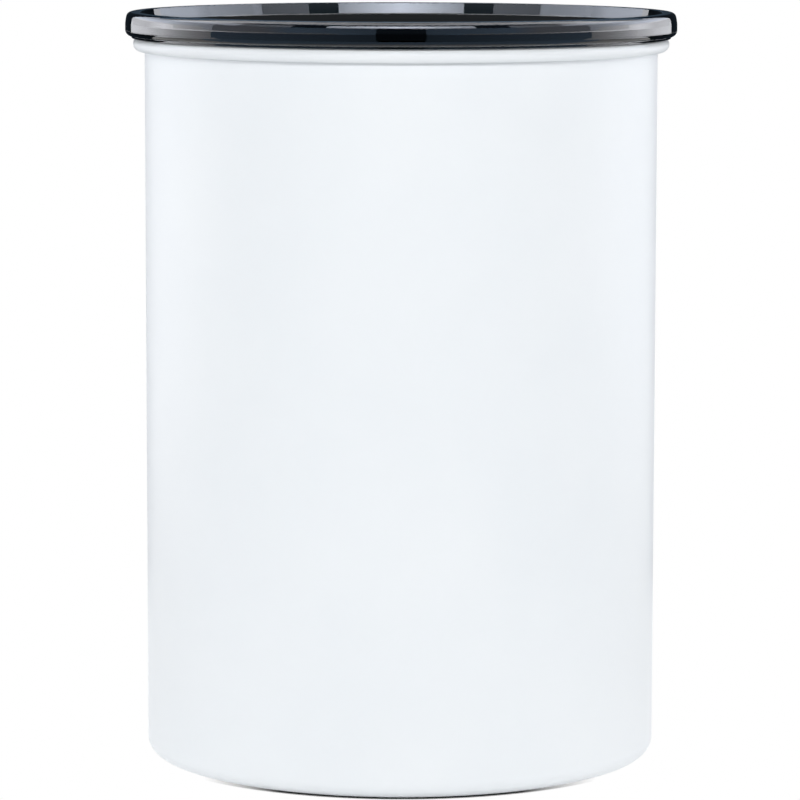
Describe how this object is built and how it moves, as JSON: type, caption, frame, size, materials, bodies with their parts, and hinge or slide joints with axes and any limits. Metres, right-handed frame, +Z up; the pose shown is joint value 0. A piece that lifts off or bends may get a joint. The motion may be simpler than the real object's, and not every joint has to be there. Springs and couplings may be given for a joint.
{
  "type": "coffee canister",
  "caption": "Round metal food canister with a rolled rim, a push-on recessed lid and an inner plunging lid whose folding handle works an air valve.",
  "frame": {"origin": "centre of the foot ring, on the surface that the canister stands on", "axes": "+Z up along the canister's axis, -Y towards the front, the handle folds back towards +Y"},
  "size_m": [0.1312, 0.1312, 0.1779],
  "materials": {
    "coated_steel": "satin",
    "smoke_plastic": "gloss",
    "silicone": "satin",
    "dark_plastic": "matte",
    "handle_plastic": "satin",
    "button_plastic": "satin",
    "steel": "satin"
  },
  "bodies": {
    "canister": {"canister_shell": "coated_steel"},
    "outer_lid": {"outer_lid": "smoke_plastic", "outer_lid_gasket": "silicone"},
    "inner_lid": {"inner_lid_skirt": "dark_plastic", "inner_lid_plate": "dark_plastic", "piston_seal": "silicone", "valve_screen": "dark_plastic", "pivot_pins": "steel", "valve_spring": "steel"},
    "handle": {"handle": "handle_plastic"},
    "valve": {"valve_button": "button_plastic", "valve_gasket": "silicone", "umbrella_valve": "silicone", "stem_clip": "steel"}
  },
  "joints": [
    {"name": "outer_lid_lift", "type": "slide", "parent": "canister", "child": "outer_lid", "axis": [0, 0, 1], "range_m": [0, 0.1]},
    {"name": "inner_lid_plunge", "type": "slide", "parent": "canister", "child": "inner_lid", "axis": [0, 0, 1], "range_m": [-0.094, 0]},
    {"name": "handle_fold", "type": "hinge", "parent": "inner_lid", "child": "handle", "pos_m": [0, 0, 0.1201], "axis": [1, 0, 0], "range_deg": [0, 90]},
    {"name": "valve_lift", "type": "slide", "parent": "inner_lid", "child": "valve", "axis": [0, 0, 1], "range_m": [0, 0.0025], "deforming": ["valve_spring"]}
  ],
  "couplings": [
    {"joint": "valve_lift", "follows": "handle_fold", "m_per_rad": 0.00159}
  ]
}
